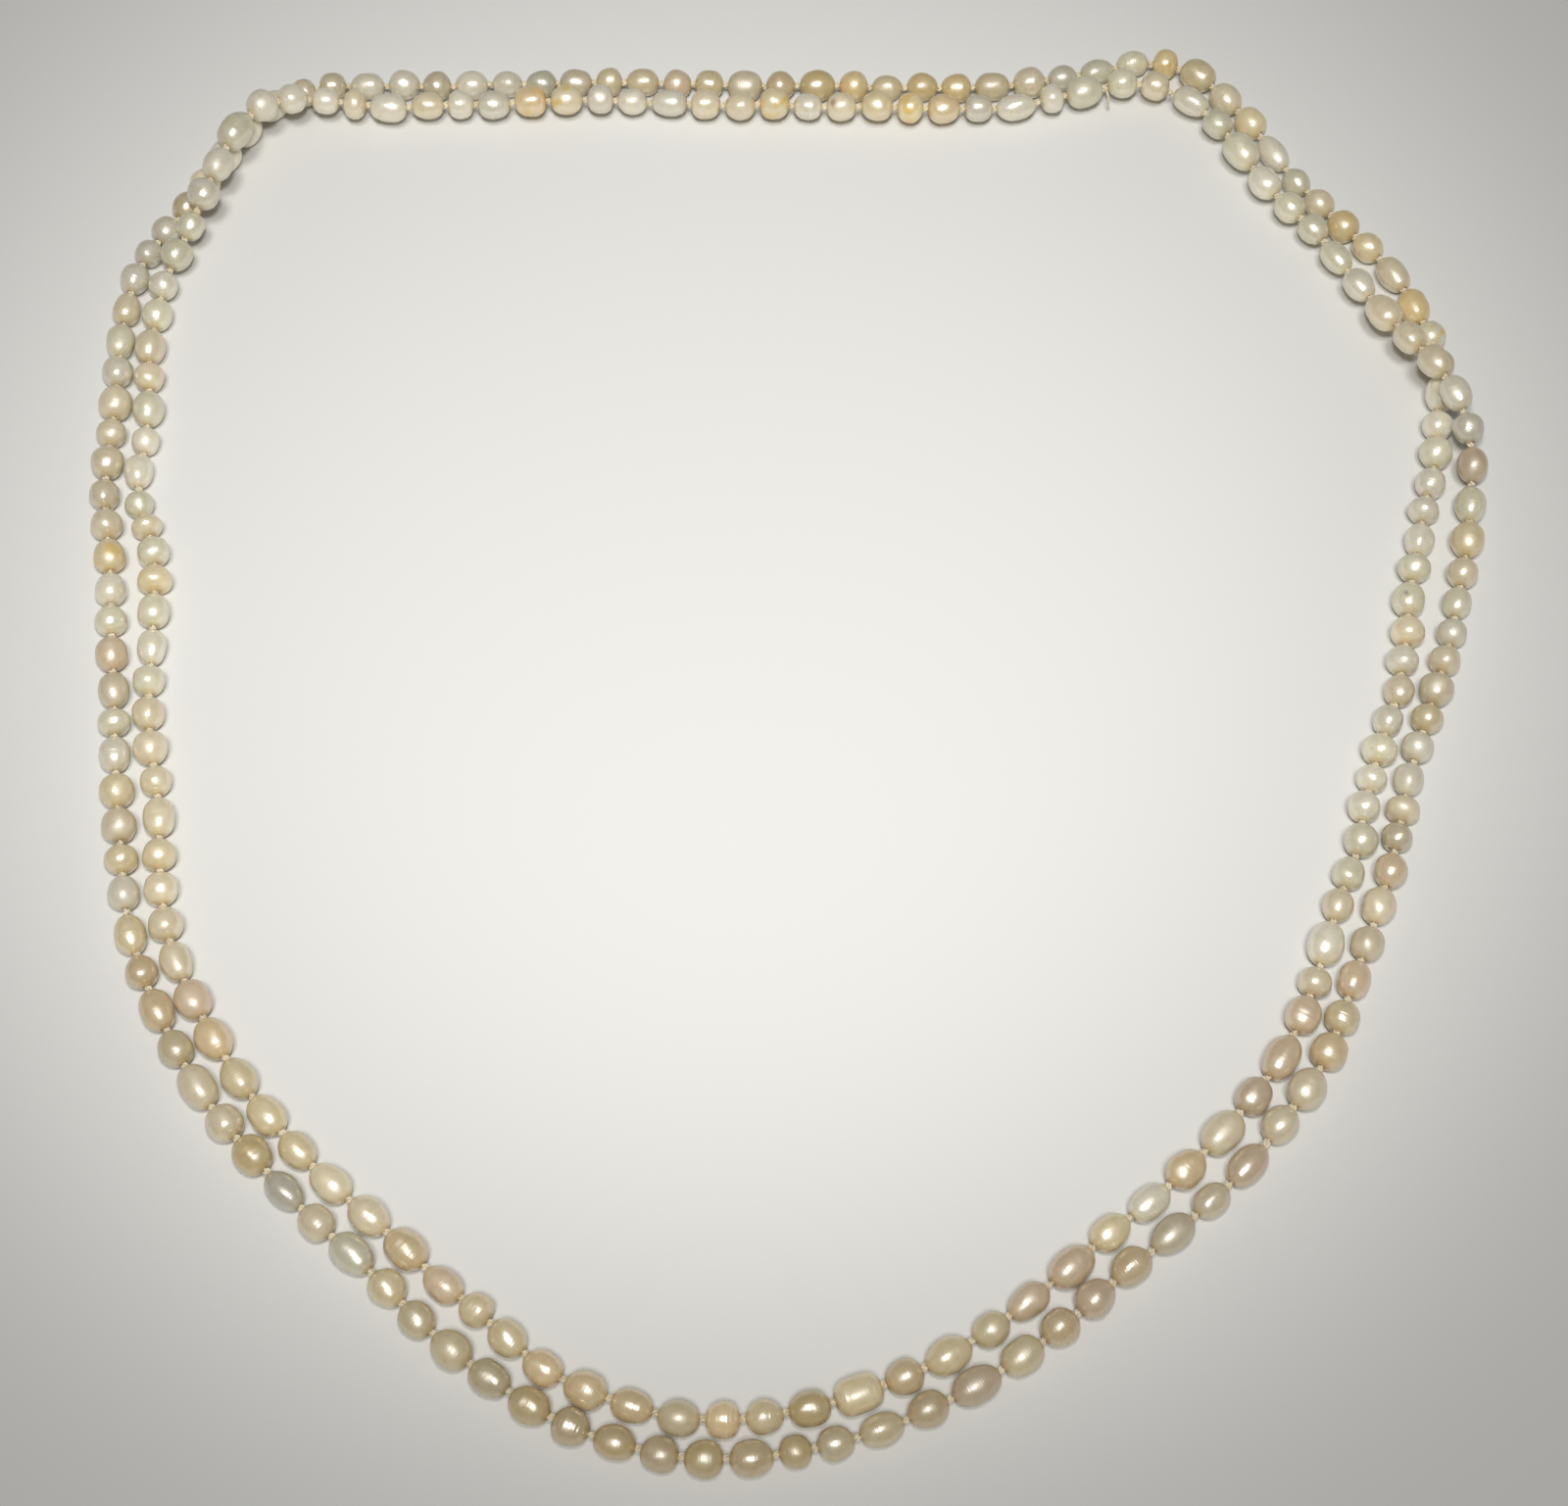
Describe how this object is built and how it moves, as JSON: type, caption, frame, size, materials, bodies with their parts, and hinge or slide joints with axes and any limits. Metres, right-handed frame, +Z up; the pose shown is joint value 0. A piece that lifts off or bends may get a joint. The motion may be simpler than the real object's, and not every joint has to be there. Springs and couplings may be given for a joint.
{
  "type": "pearl necklace",
  "caption": "Long endless rope of off-round cream pearls, knotted one by one on silk and laid doubled in two laps that cross once; the rope bends at its knots",
  "frame": {"origin": "centre of the laid loop, on the surface it rests on", "axes": "+Z up, out of the plane of the loop; +Y towards the straight back run of the doubled rope; +X towards the side where the two laps cross"},
  "size_m": [0.2348, 0.2624, 0.011],
  "materials": {
    "pearl": "gloss",
    "silk": "matte"
  },
  "bodies": {
    "crossing": {"crossing_over": "pearl", "crossing_under": "pearl"},
    "outer_01_02": {"outer_01": "pearl", "outer_02": "pearl"},
    "outer_03_04": {"outer_03": "pearl", "outer_04": "pearl"},
    "outer_05_06": {"outer_05": "pearl", "outer_06": "pearl"},
    "outer_07_08": {"outer_07": "pearl", "outer_08": "pearl"},
    "outer_09_10": {"outer_09": "pearl", "outer_10": "pearl"},
    "outer_11_12": {"outer_11": "pearl", "outer_12": "pearl"},
    "outer_27_28": {"outer_27": "pearl", "outer_28": "pearl"},
    "outer_25_26": {"outer_25": "pearl", "outer_26": "pearl"},
    "outer_23_24": {"outer_23": "pearl", "outer_24": "pearl"},
    "outer_21_22": {"outer_21": "pearl", "outer_22": "pearl"},
    "outer_19_20": {"outer_19": "pearl", "outer_20": "pearl"},
    "outer_17_18": {"outer_17": "pearl", "outer_18": "pearl"},
    "outer_15_16": {"outer_15": "pearl", "outer_16": "pearl"},
    "outer_13_14": {"outer_13": "pearl", "outer_14": "pearl"},
    "inner_01_02": {"inner_01": "pearl", "inner_02": "pearl"},
    "inner_03_04": {"inner_03": "pearl", "inner_04": "pearl"},
    "inner_05_06": {"inner_05": "pearl", "inner_06": "pearl"},
    "inner_07_08": {"inner_07": "pearl", "inner_08": "pearl"},
    "inner_09_10": {"inner_09": "pearl", "inner_10": "pearl"},
    "inner_11_12": {"inner_11": "pearl", "inner_12": "pearl"},
    "inner_27_28": {"inner_27": "pearl", "inner_28": "pearl"},
    "inner_25_26": {"inner_25": "pearl", "inner_26": "pearl", "closing_knot_tail": "silk"},
    "inner_23_24": {"inner_23": "pearl", "inner_24": "pearl"},
    "inner_21_22": {"inner_21": "pearl", "inner_22": "pearl"},
    "inner_19_20": {"inner_19": "pearl", "inner_20": "pearl"},
    "inner_17_18": {"inner_17": "pearl", "inner_18": "pearl"},
    "inner_15_16": {"inner_15": "pearl", "inner_16": "pearl"},
    "inner_13_14": {"inner_13": "pearl", "inner_14": "pearl"}
  },
  "joints": [
    {"name": "outer_01_02_lift", "type": "hinge", "parent": "crossing", "child": "outer_01_02", "pos_m": [0.11471, 0.04179, 0.00495], "axis": [-0.9732, 0.23, 0], "range_deg": [-25, 25]},
    {"name": "outer_03_04_swing", "type": "hinge", "parent": "outer_01_02", "child": "outer_03_04", "pos_m": [0.10309, -0.00735, 0.00253], "axis": [0, 0, 1], "range_deg": [0, 25]},
    {"name": "outer_05_06_lift", "type": "hinge", "parent": "outer_03_04", "child": "outer_05_06", "pos_m": [0.08481, -0.05869, 0.00241], "axis": [-0.7592, 0.6509, 0], "range_deg": [-25, 25]},
    {"name": "outer_07_08_swing", "type": "hinge", "parent": "outer_05_06", "child": "outer_07_08", "pos_m": [0.04673, -0.10311, 0.00247], "axis": [0, 0, 1], "range_deg": [0, 25]},
    {"name": "outer_09_10_lift", "type": "hinge", "parent": "outer_07_08", "child": "outer_09_10", "pos_m": [-0.00856, -0.1285, 0.00252], "axis": [0.4304, 0.9026, 0], "range_deg": [-25, 25]},
    {"name": "outer_11_12_swing", "type": "hinge", "parent": "outer_09_10", "child": "outer_11_12", "pos_m": [-0.0552, -0.10627, 0.00244], "axis": [0, 0, 1], "range_deg": [0, 25]},
    {"name": "outer_27_28_lift", "type": "hinge", "parent": "crossing", "child": "outer_27_28", "pos_m": [0.10761, 0.07622, 0.0024], "axis": [0.84, 0.5425, 0], "range_deg": [-25, 0]},
    {"name": "outer_25_26_swing", "type": "hinge", "parent": "outer_27_28", "child": "outer_25_26", "pos_m": [0.07758, 0.12271, 0.00261], "axis": [0, 0, 1], "range_deg": [-25, 0]},
    {"name": "outer_23_24_lift", "type": "hinge", "parent": "outer_25_26", "child": "outer_23_24", "pos_m": [0.02785, 0.1229, 0.00245], "axis": [0.0198, 0.9998, 0], "range_deg": [-25, 0]},
    {"name": "outer_21_22_swing", "type": "hinge", "parent": "outer_23_24", "child": "outer_21_22", "pos_m": [-0.02294, 0.12391, 0.00243], "axis": [0, 0, 1], "range_deg": [-25, 0]},
    {"name": "outer_19_20_lift", "type": "hinge", "parent": "outer_21_22", "child": "outer_19_20", "pos_m": [-0.07307, 0.12338, 0.00243], "axis": [-0.6652, 0.7467, 0], "range_deg": [-25, 0]},
    {"name": "outer_17_18_swing", "type": "hinge", "parent": "outer_19_20", "child": "outer_17_18", "pos_m": [-0.1082, 0.09208, 0.00244], "axis": [0, 0, 1], "range_deg": [-25, 0]},
    {"name": "outer_15_16_lift", "type": "hinge", "parent": "outer_17_18", "child": "outer_15_16", "pos_m": [-0.11441, 0.04298, 0.00248], "axis": [-0.9917, -0.1288, 0], "range_deg": [-25, 25]},
    {"name": "outer_13_14_swing", "type": "hinge", "parent": "outer_15_16", "child": "outer_13_14", "pos_m": [-0.10778, -0.00801, 0.00244], "axis": [0, 0, 1], "range_deg": [-25, 0]},
    {"name": "inner_01_02_lift", "type": "hinge", "parent": "crossing", "child": "inner_01_02", "pos_m": [0.10853, 0.0385, 0.00255], "axis": [0.9707, -0.2402, 0], "range_deg": [-25, 25]},
    {"name": "inner_03_04_lift", "type": "hinge", "parent": "inner_01_02", "child": "inner_03_04", "pos_m": [0.0972, -0.00729, 0.0023], "axis": [0.9432, -0.3323, 0], "range_deg": [-25, 25]},
    {"name": "inner_05_06_lift", "type": "hinge", "parent": "inner_03_04", "child": "inner_05_06", "pos_m": [0.08099, -0.05328, 0.00253], "axis": [0.7876, -0.6162, 0], "range_deg": [-25, 25]},
    {"name": "inner_07_08_lift", "type": "hinge", "parent": "inner_05_06", "child": "inner_07_08", "pos_m": [0.0497, -0.09329, 0.00233], "axis": [0.4991, -0.8665, 0], "range_deg": [-25, 25]},
    {"name": "inner_09_10_lift", "type": "hinge", "parent": "inner_07_08", "child": "inner_09_10", "pos_m": [-0.00023, -0.12205, 0.00241], "axis": [-0.3352, -0.9421, 0], "range_deg": [-25, 25]},
    {"name": "inner_11_12_swing", "type": "hinge", "parent": "inner_09_10", "child": "inner_11_12", "pos_m": [-0.04672, -0.1055, 0.00238], "axis": [0, 0, 1], "range_deg": [-25, 0]},
    {"name": "inner_27_28_lift", "type": "hinge", "parent": "crossing", "child": "inner_27_28", "pos_m": [0.09794, 0.07931, 0.004], "axis": [0.7861, 0.6181, 0], "range_deg": [0, 25]},
    {"name": "inner_25_26_lift", "type": "hinge", "parent": "inner_27_28", "child": "inner_25_26", "pos_m": [0.06411, 0.12235, 0.00394], "axis": [-0.1195, 0.9928, 0], "range_deg": [0, 25]},
    {"name": "inner_23_24_lift", "type": "hinge", "parent": "inner_25_26", "child": "inner_23_24", "pos_m": [0.01956, 0.11699, 0.00395], "axis": [0.0353, 0.9994, 0], "range_deg": [0, 25]},
    {"name": "inner_21_22_lift", "type": "hinge", "parent": "inner_23_24", "child": "inner_21_22", "pos_m": [-0.03115, 0.11878, 0.00377], "axis": [-0.023, 0.9997, 0], "range_deg": [0, 25]},
    {"name": "inner_19_20_lift", "type": "hinge", "parent": "inner_21_22", "child": "inner_19_20", "pos_m": [-0.08067, 0.11764, 0.00449], "axis": [-0.81, 0.5864, 0], "range_deg": [0, 25]},
    {"name": "inner_17_18_lift", "type": "hinge", "parent": "inner_19_20", "child": "inner_17_18", "pos_m": [-0.10798, 0.07991, 0.00341], "axis": [0.9999, -0.0126, 0], "range_deg": [-25, 25]},
    {"name": "inner_15_16_swing", "type": "hinge", "parent": "inner_17_18", "child": "inner_15_16", "pos_m": [-0.10855, 0.0345, 0.00223], "axis": [0, 0, 1], "range_deg": [0, 25]},
    {"name": "inner_13_14_swing", "type": "hinge", "parent": "inner_15_16", "child": "inner_13_14", "pos_m": [-0.10169, -0.01195, 0.00251], "axis": [0, 0, 1], "range_deg": [0, 25]}
  ]
}
